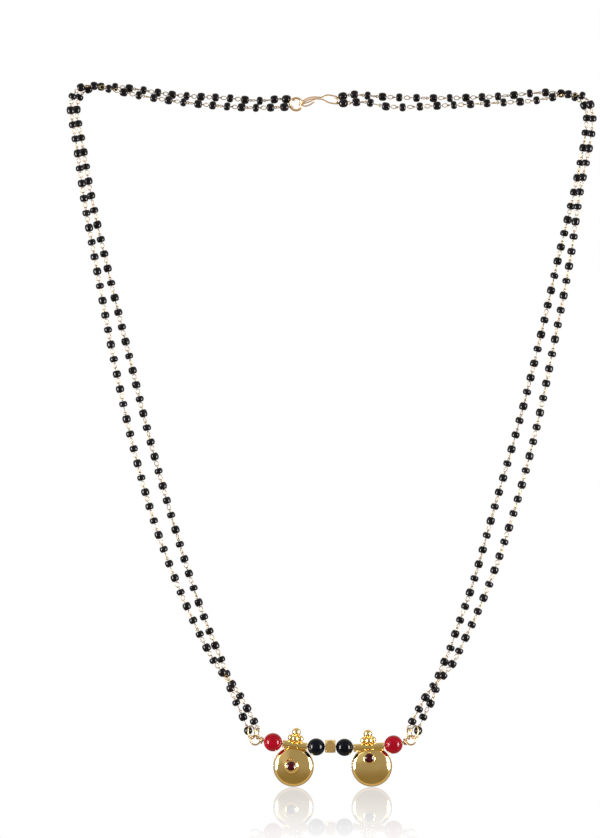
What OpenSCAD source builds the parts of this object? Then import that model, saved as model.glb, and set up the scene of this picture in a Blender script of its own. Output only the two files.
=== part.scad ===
// Mangalsutra: a two strand necklace of small black beads on gold links. It hangs from the nape
// clasp and carries a wire bar with red, black and gold beads and two gold cups on tubes.
// X runs to the right of the viewer, Y away from the viewer and Z up, all in millimetres.
// The origin is the middle of the top stretch, where the necklace rests on the nape.

/* [Small beads] */
// Outer diameter of a small black bead
bead_d = 2.6; // [2.2:0.05:2.75]
// Middle length of a small black bead along its link
bead_len = 2; // [1.5:0.05:2.1]
// Share by which the bead lengths differ
bead_spread = 0.15; // [0:0.01:0.17]
// Rounding of a bead's outer edges
bead_round = 0.7; // [0.3:0.05:0.72]

/* [Chain] */
// Diameter of the chain inside the small beads
chain_d = 0.6; // [0.4:0.05:0.7]
// Clear space between the chain and a bead's bore, each side
chain_gap = 0.1; // [0.05:0.01:0.2]
// Wire of the end loops
eye_wire = 0.3; // [0.2:0.02:0.36]
// Inner diameter of the end loops
eye_hole = 0.96; // [0.88:0.02:1]

/* [Clasp] */
// Outer diameter of the clasp ring
clasp_ring_d = 4.4; // [4.2:0.1:4.6]
// Wire of the clasp ring
clasp_ring_wire = 0.72; // [0.5:0.02:0.76]
// Wire of the clasp hook, which is bent double
hook_wire = 0.42; // [0.34:0.02:0.46]

/* [Bar] */
// Wire of the bar
bar_wire_d = 0.5; // [0.4:0.02:0.6]
// Outer diameter of the loops at the ends of the bar
bar_loop_d = 3.28; // [3.2:0.02:3.5]
// Outer diameter of the wrapped turns beside each loop
wrap_d = 2.1; // [1.6:0.1:2.4]
// Clear space between the bar wire and the bores of its beads, each side
bar_bead_gap = 0.2; // [0.1:0.02:0.4]
// Diameter of the red beads
red_d = 5.6; // [4.8:0.1:5.7]
// Diameter of the large black beads
black_d = 5.3; // [4.6:0.1:5.4]
// Height of the gold centre bead
center_bead_h = 3.7; // [2.8:0.1:4]
// Length of the gold centre bead along the bar
center_bead_len = 3.1; // [2.4:0.1:3.2]
// Share of an edge of the centre bead that the cut at each of its corners takes
corner_cut = 0.36; // [0.25:0.01:0.48]

/* [Jump rings] */
// Outer diameter of the rings of the outer strands
slim_ring_d = 3.8; // [3.7:0.05:3.9]
// Wire of the rings of the outer strands
slim_ring_wire = 0.4; // [0.3:0.02:0.44]
// Length over all of the oval rings of the inner strands
oval_ring_len = 4.3; // [4.2:0.05:4.4]
// Width over all of the oval rings of the inner strands
oval_ring_w = 3.9; // [3.8:0.05:4.1]
// Wire of the oval rings
oval_ring_wire = 0.46; // [0.4:0.02:0.5]

/* [Cups] */
// Diameter of the cups
cup_d = 12.3; // [11:0.1:12.8]
// Depth of the cups from rim to crown
cup_depth = 2.9; // [2.6:0.1:3.4]
// Wall of the cups
cup_wall = 0.55; // [0.4:0.05:0.8]
// Radius of the cups' turned edge
cup_edge_r = 1.8; // [1.4:0.05:1.95]
// Distance from the tube's axis back to the cup's rim
cup_set_back = 1; // [0.8:0.1:1.2]
// Lean of the hanging cups, foot backward
cup_lean = 2; // [0:1:10]
// How far the left cup's upper edge lies below its tube's axis
left_cup_below = 0.4; // [-0.2:0.05:0.5]
// How far the right cup's upper edge lies below its tube's axis
right_cup_below = -0.15; // [-0.2:0.05:0.5]
// Outer diameter of the tubes
tube_d = 2.36; // [2:0.02:2.6]
// Length of the left tube
left_tube_len = 7.5; // [6:0.05:7.6]
// Length of the right tube
right_tube_len = 9.24; // [7:0.02:9.24]
// Running clearance of the tubes on the bar wire, each side
tube_gap = 0.05; // [0.03:0.01:0.1]
// Diameter of the open mouths of the tubes
mouth_d = 1.7; // [1.4:0.05:1.8]
// Depth of the open mouths of the tubes
mouth_depth = 0.6; // [0.3:0.05:1]
// Diameter of the four lower balls on a tube
ball_d = 2.15; // [1.9:0.05:2.3]
// Diameter of the top ball on a tube
top_ball_d = 2.6; // [2.2:0.05:2.7]
// How far the soldered balls run into what carries them
solder_bite = 0.14; // [0.12:0.02:0.3]

/* [Stones] */
// Width of the cut stones
stone_d = 2.9; // [2.4:0.05:3.1]
// Height of a stone's crown above its widest part
stone_crown = 0.42; // [0.3:0.02:0.5]
// Depth of a stone below its widest part
stone_pavilion = 0.6; // [0.4:0.05:0.65]
// Clear space round a stone in its setting
stone_gap = 0.05; // [0.03:0.01:0.08]
// Wall of the settings
bezel_wall = 0.3; // [0.2:0.02:0.4]
// Height of a setting above the cup
bezel_h = 0.85; // [0.8:0.05:1.1]
// Sideways place of the left stone on its cup
left_stone_x = -0.7; // [-1:0.1:1]
// Height of the left stone above the middle of its cup
left_stone_z = 0.4; // [-1:0.05:1]
// Sideways place of the right stone on its cup
right_stone_x = -0.6; // [-1:0.1:1]
// Height of the right stone above the middle of its cup
right_stone_z = 2.7; // [1.5:0.1:2.9]

/* [Hidden] */
$fn = 48;

gold = [0.86, 0.66, 0.32];
jet = [0.03, 0.03, 0.05];
ruby = [0.75, 0.02, 0.12];
garnet = [0.3, 0.02, 0.1];

// Places on the bar and in the clasp, chosen by hand as x and z in the plane of the necklace
bar_mid_x = 0.65;
bar_loop_x = 23.51;
bar_loop_z = -193.04;
left_tube_from = [-14.95, 0, -194.05];
left_tube_to = [-6.9, 0, -195.05];
bar_center = [-0.2, 0, -194.85];
right_tube_from = [6.65, 0, -195.4];
right_tube_to = [16.1, 0, -194.85];
clasp_ring_at = [-10.54, 0, -0.97];

// Bead number, x, y and z of chosen points along each strand, from the clasp down to the bar.
// A bead number that ends in a half is the middle of the strand's end loop.
left_outer_route = [
  [-0.5, -12.184, 0, -1.797], [0.5, -16, -2.1, -2], [1.5, -20.5, -1.6, -2.2], [3, -27, -1.5, -2],
  [7, -44.5, -1.5, -0.5],
  [11, -62.5, -1.5, 2.5], [13, -71.5, -1.5, 4.5], [14, -75.5, -1.5, 4.5], [15, -78.5, -1.5, 1.5],
  [16, -78.5, -1.5, -3], [18, -77, -1.5, -11.5], [22, -74.5, -1.5, -29.5], [27, -70.5, -1.5, -51.5],
  [33, -65.5, -1.5, -78], [39, -59.5, -1.5, -105], [45, -52, -1.5, -131], [50, -43.5, -1.5, -152.5],
  [53, -37.5, -1.5, -165], [55, -33, -1.5, -172.5], [56, -29.5, -1.5, -176],
  [57, -27.5, -1.2, -179.5], [58, -25.3, -0.9, -183.3], [59.5, -22.22, 0.05, -189.32]
];
left_inner_route = [
  [-0.5, -11.95, 0, 0.213], [0.5, -15, 2.1, 1.1], [1.5, -19.3, 1.6, 0.2], [4, -30.5, 1.5, 1],
  [8, -48, 1.5, 2],
  [11, -61, 1.5, 4], [13, -69.5, 1.5, 4.5], [14, -73.5, 1.5, 4], [15, -76.5, 1.5, 1.5],
  [16, -77, 1.5, -2.5], [18, -75.5, 1.5, -11], [22, -72.5, 1.5, -28.5], [27, -67.5, 1.5, -50.5],
  [33, -61, 1.5, -77], [39, -54.5, 1.5, -103], [45, -47, 1.5, -129.5], [50, -40, 1.5, -151.5],
  [53, -35, 1.5, -164.5], [55, -31.5, 1.5, -173], [56, -30.5, 1.5, -177.5],
  [57.5, -27.6, 1.8, -183.9], [58.5, -25.56, 1.86, -188.35], [59.5, -24.48, -1.45, -191.93]
];
right_outer_route = [
  [-0.5, 1.9, 0, -0.35], [0.5, 5.6, -2.3, -1.1], [1.5, 9.6, -1.9, 0.1], [2.5, 14.1, -1.5, -1.4],
  [6, 32, -1.5, -1.5], [10, 52, -1.5, -0.5], [12, 62, -1.5, 0], [14, 71.5, -1.5, 2], [15, 76, -1.5, 2],
  [16, 78.5, -1.5, -1], [17, 79, -1.5, -5.5], [18, 78.5, -1.5, -10], [22, 75, -1.5, -27.5],
  [26, 72.5, -1.5, -45.5], [32, 67.5, -1.5, -72], [38, 62, -1.5, -98.5], [44, 55, -1.5, -124.5],
  [50, 46, -1.5, -150], [53, 40.5, -1.5, -162], [56, 34, -1.5, -173.5], [57, 30.5, -1.5, -176.5],
  [58, 28.5, -1.2, -180], [59, 26.5, -0.75, -183.5], [60.5, 23.52, 0.05, -189.32]
];
right_inner_route = [
  [-0.5, 1.9, 0, 0.75], [0.5, 5.2, 2.2, 2.3], [2, 11, 1.6, 1.7], [6, 31, 1.5, 1],
  [10, 50.5, 1.5, 1.5], [14, 69.5, 1.5, 2.5], [15, 74, 1.5, 1.5], [16, 77, 1.5, -1],
  [17, 77.5, 1.5, -5], [18, 77, 1.5, -9.5], [22, 73.5, 1.5, -27.5], [26, 69.5, 1.5, -44],
  [32, 63.5, 1.5, -70.5], [38, 57, 1.5, -96.5], [44, 49.5, 1.5, -122.5], [50, 42, 1.5, -148.5],
  [53, 37.5, 1.5, -161], [55, 34.5, 1.5, -169.5], [56, 32, 1.5, -173.5], [57, 32, 1.5, -178],
  [58.5, 28.9, 1.8, -184], [59.5, 26.86, 1.86, -188.35], [60.5, 25.78, -1.45, -191.93]
];
// x, y and z of chosen points along the hook's doubled wire. It runs from the eye's right end over the
// eye, along the shank, round the bend to the tip and back beside itself under the eye.
hook_route = [
  [1.9, 0, 0.24], [1.9, 0, 0.95], [1.65, 0, 1.3], [1, 0, 1.5], [-0.1, 0, 1.74], [-0.9, 0, 1.82],
  [-1.65, 0, 1.68], [-2.4, 0, 1.3], [-3.1, 0, 1.12], [-4.9, 0.1, 1.21], [-6.4, 0.4, 1.08],
  [-7.6, 0.7, 0.66], [-8.5, 0.85, 0.1], [-9.3, 0.55, -0.35], [-9.5, 0, -0.67], [-9.3, -0.55, -0.88],
  [-8.6, -0.85, -0.95], [-7.5, -0.85, -0.6], [-6.1, -0.8, -0.1], [-5.45, -0.75, 0.33],
  [-5.05, -0.75, 0.47], [-4.8, -0.75, 0.27], [-4.95, -0.75, -0.12], [-5.5, -0.78, -0.62],
  [-6.2, -0.8, -1.08], [-6.9, -0.85, -1.42], [-7.7, -0.85, -1.62], [-8.6, -0.85, -1.52],
  [-9.3, -0.55, -1.44], [-9.5, 0, -1.27], [-9.3, 0.55, -1], [-8.5, 0.85, -0.54], [-7.6, 0.7, 0.04],
  [-6.4, 0.4, 0.53], [-4.9, 0.1, 0.68], [-3.1, 0, 0.58], [-2.4, 0, 0.42], [-1.65, 0, 0.05],
  [-0.9, 0, -0.38], [0.2, 0, -0.66], [1.1, 0, -0.82], [1.65, 0, -0.75], [1.9, 0, -0.45], [1.9, 0, 0.18]
];

chain_r = chain_d / 2;
bead_bore_r = chain_r + chain_gap;
eye_mean_r = (eye_hole + eye_wire) / 2;
bar_r = bar_wire_d / 2;
bar_loop_mean_r = (bar_loop_d - bar_wire_d) / 2;
bar_bore_r = bar_r + bar_bead_gap;
tube_r = tube_d / 2;
cup_r = cup_d / 2;
left_cup_drop = cup_r + left_cup_below;
right_cup_drop = cup_r + right_cup_below;
// The crown's arc meets the turned edge's arc without a corner
cup_arc_drop = (pow(cup_r - cup_edge_r, 2) - pow(cup_depth - cup_edge_r, 2)) / (2 * (cup_depth - cup_edge_r));
cup_crown_r = cup_depth + cup_arc_drop;
stone_r = stone_d / 2;
tiny = 0.01;

// Smooth route through the chosen points, read at any bead number
function slope_at(route, i, n) =
  let (last = len(route) - 1)
  i == 0 ? (route[1] - route[0])[n] / (route[1][0] - route[0][0]) :
  i == last ? (route[last] - route[last - 1])[n] / (route[last][0] - route[last - 1][0]) :
  let (
    before = route[i][0] - route[i - 1][0],
    after = route[i + 1][0] - route[i][0],
    from_before = (route[i][n] - route[i - 1][n]) / before,
    to_after = (route[i + 1][n] - route[i][n]) / after
  ) (to_after * before + from_before * after) / (before + after);
function stretch_of(route, k, i = 0) =
  i >= len(route) - 2 || k <= route[i + 1][0] ? i : stretch_of(route, k, i + 1);
function route_at(route, k) =
  let (
    i = stretch_of(route, k),
    h = route[i + 1][0] - route[i][0],
    t = (k - route[i][0]) / h
  ) [for (n = [1:3])
    route[i][n] * (2 * pow(t, 3) - 3 * pow(t, 2) + 1) + route[i + 1][n] * (3 * pow(t, 2) - 2 * pow(t, 3))
    + slope_at(route, i, n) * h * (pow(t, 3) - 2 * pow(t, 2) + t)
    + slope_at(route, i + 1, n) * h * (pow(t, 3) - pow(t, 2))
  ];
function last_bead(route) = round(route[len(route) - 1][0] - 0.5);
// Points where one link meets the next, from the first end loop to the last
function joints_of(route) = [for (k = [0:last_bead(route) + 1]) route_at(route, k - 0.5)];
function unit(v) = v / norm(v);
function tilt_to(v) = [0, acos(unit(v)[2]), atan2(v[1], v[0])];

// Round tube along a list of points, none of whose stretches runs along the given direction
function ring_dir(pts, i) =
  unit(pts[min(i + 1, len(pts) - 1)] - pts[max(i - 1, 0)]);
function ring_at(pts, i, r, sides, across) =
  let (d = ring_dir(pts, i), side = unit(cross(across, d)), up = cross(d, side))
  [for (s = [0:sides - 1]) pts[i] + r * (cos(360 * s / sides) * side + sin(360 * s / sides) * up)];
module swept_wire(pts, r, sides, across = [0, 1, 0]) {
  rings = len(pts);
  points = [for (i = [0:rings - 1]) each ring_at(pts, i, r, sides, across)];
  sleeve = [for (i = [0:rings - 2], s = [0:sides - 1])
    let (a = i * sides + s, b = i * sides + (s + 1) % sides)
    each [[a, a + sides, b + sides], [a, b + sides, b]]];
  first = [for (s = [0:sides - 1]) s];
  last = [for (s = [sides - 1:-1:0]) (rings - 1) * sides + s];
  polyhedron(points = points, faces = concat([first], sleeve, [last]), convexity = 8);
}
// Round wire that closes on itself along a flat list of points
module closed_wire(pts, r, sides) {
  rings = len(pts);
  normal = unit(cross(pts[1] - pts[0], pts[2] - pts[1]));
  points = [for (i = [0:rings - 1])
    let (out = unit(cross(pts[(i + 1) % rings] - pts[(i + rings - 1) % rings], normal)))
    each [for (s = [0:sides - 1]) pts[i] + r * (cos(360 * s / sides) * out + sin(360 * s / sides) * normal)]];
  sleeve = [for (i = [0:rings - 1], s = [0:sides - 1]) let (j = (i + 1) % rings, t = (s + 1) % sides)
    [i * sides + s, i * sides + t, j * sides + t, j * sides + s]];
  polyhedron(points = points, faces = sleeve, convexity = 8);
}
// Wire bent into a closed ring about the Z axis
module wire_ring(mean_r, wire_r) {
  rotate_extrude() translate([mean_r, 0]) circle(wire_r);
}
module ring_facing(normal, mean_r, wire_r) {
  rotate(tilt_to(normal)) wire_ring(mean_r, wire_r);
}

// Small bead with rounded edges, drilled along Z
module small_bead(length) {
  r = bead_d / 2;
  half = length / 2;
  rounding = min(bead_round, half - tiny, r - bead_bore_r - tiny);
  rotate_extrude() intersection() {
    translate([bead_bore_r, -half]) square([r, length]);
    union() {
      translate([0, -half]) square([r - rounding, length]);
      translate([0, rounding - half]) square([r, length - 2 * rounding]);
      for (side = [-1, 1]) translate([r - rounding, side * (half - rounding)]) circle(rounding);
    }
  }
}
module bead_strand(route) {
  joints = joints_of(route);
  for (k = [0:last_bead(route)]) {
    link = joints[k + 1] - joints[k];
    length = bead_len * (1 + bead_spread * sin(137.5 * k + len(route)));
    translate((joints[k] + joints[k + 1]) / 2) rotate(tilt_to(link)) small_bead(length);
  }
}
// Chain that runs through the beads of a strand and ends in a loop round what holds each end
module strand_chain(route, first_holder, last_holder) {
  joints = joints_of(route);
  end = len(joints) - 1;
  first_dir = unit(joints[1] - joints[0]);
  last_dir = unit(joints[end - 1] - joints[end]);
  inner = [for (i = [1:end - 1]) joints[i]];
  start = eye_mean_r + eye_wire / 3;
  path = concat([joints[0] + start * first_dir], inner, [joints[end] + start * last_dir]);
  swept_wire(path, chain_r, 8);
  translate(joints[0])
    ring_facing(first_holder - (first_holder * first_dir) * first_dir, eye_mean_r, eye_wire / 2);
  translate(joints[end])
    ring_facing(last_holder - (last_holder * last_dir) * last_dir, eye_mean_r, eye_wire / 2);
}

// The clasp ring's wire runs this way where each left strand holds it
function clasp_holder(route) =
  let (arm = route_at(route, -0.5) - clasp_ring_at) [arm[2], 0, -arm[0]];
hook_holder = [0, 0, 1];

// Jump rings stand across the bar's end loop. Each is given on the left and mirrored for the right.
slim_ring_at = [-22.17, 0.05, -191.02];
slim_ring_turn = 13;
oval_ring_at = [-23.98, -0.42, -190.58];
oval_ring_turn = 54.5;
oval_ring_slant = 17;
oval_ring_lean = 9.5;
slim_ring_normal = [cos(slim_ring_turn), -sin(slim_ring_turn), 0];
slim_holder = [-sin(slim_ring_turn), -cos(slim_ring_turn), 0];
oval_down = cos(oval_ring_lean) * [sin(oval_ring_slant), 0, -cos(oval_ring_slant)]
  + sin(oval_ring_lean) * [0, 1, 0];
oval_side = [cos(oval_ring_slant), 0, sin(oval_ring_slant)];
oval_across = cos(oval_ring_turn) * oval_side + sin(oval_ring_turn) * cross(oval_side, oval_down);
oval_holder = oval_down + oval_across / 2;
function mirrored(v) = [-v[0], v[1], v[2]];

module left_half() { children(); }
module right_half() { translate([2 * bar_mid_x, 0, 0]) mirror([1, 0, 0]) children(); }
module slim_ring() {
  translate(slim_ring_at)
    ring_facing(slim_ring_normal, (slim_ring_d - slim_ring_wire) / 2, slim_ring_wire / 2);
}
module oval_ring() {
  long_r = (oval_ring_len - oval_ring_wire) / 2;
  short_r = (oval_ring_w - oval_ring_wire) / 2;
  closed_wire([for (step = [0:19]) let (a = 18 * step)
    oval_ring_at + long_r * cos(a) * oval_down + short_r * sin(a) * oval_across], oval_ring_wire / 2, 8);
}

// Straight run of wire from one point to the next, with a ball at its bend a little wider than the wire
bend_share = 1.04;
module wire_run(from, to, r) {
  translate(from) rotate(tilt_to(to - from)) cylinder(h = norm(to - from), r = r);
  translate(to) sphere(r * bend_share);
}
module loop_and_wrap(loop_at, wire_from, wire_to) {
  along = unit(wire_to - wire_from);
  wrap_r = wrap_d / 2;
  translate(loop_at) ring_facing([0, 1, 0], bar_loop_mean_r, bar_r);
  for (turn = [0, 1]) {
    turn_r = wrap_r - turn * bar_r;
    translate(wire_from + along * bar_wire_d * (0.95 + 0.9 * turn)) rotate(tilt_to(along)) {
      wire_ring(turn_r - bar_r, bar_r);
      translate([0, 0, -bar_r * 0.8]) cylinder(h = bar_r * 1.6, r = turn_r - bar_r);
    }
  }
}
left_loop_at = [bar_mid_x - bar_loop_x, 0, bar_loop_z];
right_loop_at = [bar_mid_x + bar_loop_x, 0, bar_loop_z];
left_wire_end = left_loop_at + bar_loop_mean_r * [1, 0, 0];
right_wire_end = right_loop_at + bar_loop_mean_r * unit([-1, 0, -0.25]);
module bar_wire() {
  color(gold) union() {
    wire_run(left_wire_end, left_tube_from, bar_r);
    wire_run(left_tube_from, left_tube_to, bar_r);
    wire_run(left_tube_to, bar_center, bar_r);
    wire_run(bar_center, right_tube_from, bar_r);
    wire_run(right_tube_from, right_tube_to, bar_r);
    wire_run(right_tube_to, right_wire_end, bar_r);
    loop_and_wrap(left_loop_at, left_wire_end, left_tube_from);
    loop_and_wrap(right_loop_at, right_wire_end, right_tube_to);
  }
}

// A bead on a stretch of the bar, at a given x. A bead may hang below the wire by less than its bore's play.
module on_wire(from, to, x, hang = 0) {
  share = (x - from[0]) / (to[0] - from[0]);
  translate(from + share * (to - from) - [0, 0, hang]) rotate(tilt_to(to - from)) children();
}
module round_bead(d) {
  difference() {
    sphere(d / 2);
    cylinder(h = d + 1, r = bar_bore_r, center = true);
  }
}
// Cube whose corners are cut off
module corner_cut_bead() {
  half = [center_bead_h / 2, center_bead_h / 2, center_bead_len / 2];
  left_of_edge = 1 - 2 * corner_cut;
  corners = [for (i = [0:2], a = [-1, 1], b = [-1, 1], c = [-left_of_edge, left_of_edge])
    [(i == 0 ? c : a) * half[0], (i == 0 ? a : i == 1 ? c : b) * half[1], (i == 2 ? c : b) * half[2]]];
  difference() {
    hull() for (c = corners) translate(c) cube(tiny, center = true);
    cylinder(h = center_bead_len + 1, r = bar_bore_r, center = true);
  }
}
// The beads between the cups press together along the bar with this clearance
bar_gap = 0.08;
left_black_x = bar_center[0] - center_bead_len / 2 - bar_gap - black_d / 2;
right_black_x = bar_center[0] + center_bead_len / 2 + bar_gap + black_d / 2;
// The red beads sit close to the tubes' outer ends
left_red_x = left_tube_from[0] + 0.22 - red_d / 2;
right_red_x = right_tube_to[0] - 0.05 + red_d / 2;
// How far two of the beads hang below the wire's line
bead_hang = 0.1;

// Dome of a cup as seen by its outline: a wide crown arc that turns into a tight edge arc
module dome_outline(shrink) {
  intersection() {
    union() {
      intersection() {
        translate([0, -cup_arc_drop]) circle(cup_crown_r - shrink, $fn = 160);
        polygon([[0, -cup_arc_drop], [0, cup_depth + 1],
          [(cup_r - cup_edge_r) * (cup_depth + 1 + cup_arc_drop) / cup_arc_drop, cup_depth + 1]]);
      }
      translate([cup_r - cup_edge_r, 0]) circle(cup_edge_r - shrink);
    }
    translate([0, shrink > 0 ? -1 : 0]) square([cup_r, cup_depth + 2]);
  }
}
module cup_shell() {
  rotate([90, 0, 0]) rotate_extrude($fn = 96) difference() {
    dome_outline(0);
    union() {
      dome_outline(cup_wall);
      translate([0, -1]) square([cup_r - cup_wall, 1 + tiny]);
    }
  }
}
// Places its children on the crown of a cup, facing out along -Y
module on_crown(x, z) {
  translate([0, cup_arc_drop, 0]) rotate([-asin(z / cup_crown_r), 0, asin(x / cup_crown_r)])
    translate([0, -cup_crown_r, 0]) rotate([90, 0, 0]) children();
}
girdle_h = bezel_h - 0.2;
bezel_r = stone_r + stone_gap + bezel_wall;
module bezel_wall_ring() {
  lip = 0.1;
  rotate_extrude() polygon([
    [stone_r + stone_gap, -cup_wall / 2], [bezel_r, -cup_wall / 2], [bezel_r, bezel_h - 0.1],
    [bezel_r - 0.1, bezel_h], [stone_r - lip, bezel_h], [stone_r + stone_gap, bezel_h - lip - 0.05]
  ]);
}
module ball_cluster(turn) {
  low = tube_r + ball_d / 2 - solder_bite;
  spread = ball_d * 0.62;
  high = low + sqrt(pow((ball_d + top_ball_d) / 2 - solder_bite / 2, 2) - pow(spread, 2));
  for (quarter = [0:3]) rotate([0, 0, turn + 90 * quarter]) translate([spread, 0, low]) sphere(ball_d / 2);
  rotate([0, 0, turn + 45]) translate([0, 0, high]) sphere(top_ball_d / 2);
}
// Cup in its own frame: the tube's axis is X through the origin and the cup hangs down
module cup_body(tube_len, cup_x, drop, stone_x, stone_z, turn) {
  difference() {
    union() {
      rotate([0, 90, 0]) cylinder(h = tube_len, r = tube_r, center = true);
      ball_cluster(turn);
      translate([cup_x, cup_set_back, -drop]) {
        cup_shell();
        on_crown(stone_x, stone_z) bezel_wall_ring();
      }
    }
    rotate([0, 90, 0]) cylinder(h = tube_len + 1, r = bar_r + tube_gap, center = true);
    for (end = [-1, 1]) translate([end * tube_len / 2, 0, 0]) rotate([0, 90, 0])
      cylinder(h = 2 * mouth_depth, r = mouth_d / 2, center = true);
  }
}
// Cut stone: a table, eight star facets, eight kites and eight girdle facets over a pavilion
module cut_stone() {
  sides = 8;
  girdle_band = 0.12;
  function around(r, z, shift) = [for (s = [0:sides - 1]) [r * cos(360 * (s + shift) / sides),
    r * sin(360 * (s + shift) / sides), z]];
  points = concat(
    around(stone_r * 0.55, stone_crown, 0), around(stone_r * 0.8, stone_crown * 0.6, 0.5),
    around(stone_r, 0, 0), around(stone_r, -girdle_band, 0), [[0, 0, -stone_pavilion]]);
  next = [for (s = [0:sides - 1]) (s + 1) % sides];
  table = [for (s = [sides - 1:-1:0]) s];
  stars = [for (s = [0:sides - 1]) [s, next[s], sides + s]];
  kites = [for (s = [0:sides - 1]) each [
    [next[s], 2 * sides + next[s], sides + s], [next[s], sides + next[s], 2 * sides + next[s]]]];
  low = [for (s = [0:sides - 1]) [sides + s, 2 * sides + next[s], 2 * sides + s]];
  band = [for (s = [0:sides - 1])
    [2 * sides + s, 2 * sides + next[s], 3 * sides + next[s], 3 * sides + s]];
  foot = [for (s = [0:sides - 1]) [3 * sides + s, 3 * sides + next[s], 4 * sides]];
  polyhedron(points = points, faces = concat([table], stars, kites, low, band, foot), convexity = 4);
}
left_cup_x = 0.4;
right_cup_x = 0.6;
// Puts its children on the left or right tube, sloping with the bar and leaning with the cup
module hung_on(from, to) {
  slope = -atan2(to[2] - from[2], to[0] - from[0]);
  translate((from + to) / 2) rotate([0, slope, 0]) rotate([cup_lean, 0, 0]) children();
}
module set_stone(cup_x, drop, stone_x, stone_z) {
  translate([cup_x, cup_set_back, -drop]) on_crown(stone_x, stone_z) translate([0, 0, girdle_h]) cut_stone();
}

module left_outer_beads() { color(jet) bead_strand(left_outer_route); }
module left_inner_beads() { color(jet) bead_strand(left_inner_route); }
module right_outer_beads() { color(jet) bead_strand(right_outer_route); }
module right_inner_beads() { color(jet) bead_strand(right_inner_route); }
module left_outer_chain() {
  color(gold) strand_chain(left_outer_route, clasp_holder(left_outer_route), slim_holder);
}
module left_inner_chain() {
  color(gold) strand_chain(left_inner_route, clasp_holder(left_inner_route), oval_holder);
}
module right_outer_chain() {
  color(gold) strand_chain(right_outer_route, hook_holder, mirrored(slim_holder));
}
module right_inner_chain() {
  color(gold) strand_chain(right_inner_route, hook_holder, mirrored(oval_holder));
}
module clasp_ring() {
  color(gold) translate(clasp_ring_at)
    ring_facing([0, 1, 0], (clasp_ring_d - clasp_ring_wire) / 2, clasp_ring_wire / 2);
}
module clasp_hook() { color(gold) swept_wire(hook_route, hook_wire / 2, 8, [0, 0.8, -0.6]); }
module left_slim_ring() { color(gold) left_half() slim_ring(); }
module left_oval_ring() { color(gold) left_half() oval_ring(); }
module right_slim_ring() { color(gold) right_half() slim_ring(); }
module right_oval_ring() { color(gold) right_half() oval_ring(); }
module left_red_bead() { color(ruby) on_wire(left_wire_end, left_tube_from, left_red_x) round_bead(red_d); }
module right_red_bead() {
  color(ruby) on_wire(right_tube_to, right_wire_end, right_red_x, bead_hang) round_bead(red_d);
}
module left_black_bead() {
  color(jet) on_wire(left_tube_to, bar_center, left_black_x, bead_hang) round_bead(black_d);
}
module right_black_bead() { color(jet) on_wire(bar_center, right_tube_from, right_black_x) round_bead(black_d); }
module center_bead() { color(gold) translate(bar_center) rotate([0, 90, 0]) corner_cut_bead(); }
module left_cup() {
  color(gold) hung_on(left_tube_from, left_tube_to)
    cup_body(left_tube_len, left_cup_x, left_cup_drop, left_stone_x, left_stone_z, -8);
}
module right_cup() {
  color(gold) hung_on(right_tube_from, right_tube_to)
    cup_body(right_tube_len, right_cup_x, right_cup_drop, right_stone_x, right_stone_z, 8);
}
module left_stone() {
  color(garnet) hung_on(left_tube_from, left_tube_to)
    set_stone(left_cup_x, left_cup_drop, left_stone_x, left_stone_z);
}
module right_stone() {
  color(garnet) hung_on(right_tube_from, right_tube_to)
    set_stone(right_cup_x, right_cup_drop, right_stone_x, right_stone_z);
}

left_outer_beads();
left_outer_chain();
left_inner_beads();
left_inner_chain();
right_outer_beads();
right_outer_chain();
right_inner_beads();
right_inner_chain();
clasp_ring();
clasp_hook();
left_slim_ring();
left_oval_ring();
right_slim_ring();
right_oval_ring();
bar_wire();
left_red_bead();
left_black_bead();
center_bead();
right_black_bead();
right_red_bead();
left_cup();
left_stone();
right_cup();
right_stone();
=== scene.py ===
"""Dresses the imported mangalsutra: glass beads, interlocking gold links, polished cups, cut stones.

X runs to the right of the viewer, Y away from the viewer and Z up. The necklace hangs in the plane
Y = 0. Shapes are in millimetres until their mesh is made. Materials, floor, backdrop, light and
camera are in metres.
"""

import math
import random

import bpy
import numpy as np
from mathutils import Matrix, Vector


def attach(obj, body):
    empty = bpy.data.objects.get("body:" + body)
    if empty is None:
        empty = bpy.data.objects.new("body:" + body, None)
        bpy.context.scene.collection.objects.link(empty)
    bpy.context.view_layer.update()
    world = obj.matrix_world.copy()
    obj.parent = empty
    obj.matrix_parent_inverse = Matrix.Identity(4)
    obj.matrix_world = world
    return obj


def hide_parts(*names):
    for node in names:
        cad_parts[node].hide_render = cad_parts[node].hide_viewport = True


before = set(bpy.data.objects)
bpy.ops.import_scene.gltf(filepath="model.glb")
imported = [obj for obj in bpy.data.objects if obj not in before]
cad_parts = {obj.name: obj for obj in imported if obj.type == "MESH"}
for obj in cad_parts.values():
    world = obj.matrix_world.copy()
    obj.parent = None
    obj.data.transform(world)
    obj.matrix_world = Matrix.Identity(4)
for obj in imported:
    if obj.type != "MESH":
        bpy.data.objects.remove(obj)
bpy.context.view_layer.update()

MM = 0.001
NECKLACE = "necklace"
SIDES = ("left", "right")
ROWS = ("outer", "inner")
X, Y, Z = Vector((1, 0, 0)), Vector((0, 1, 0)), Vector((0, 0, 1))

# ---------------------------------------------------------------- sizes shared with the solids

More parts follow.
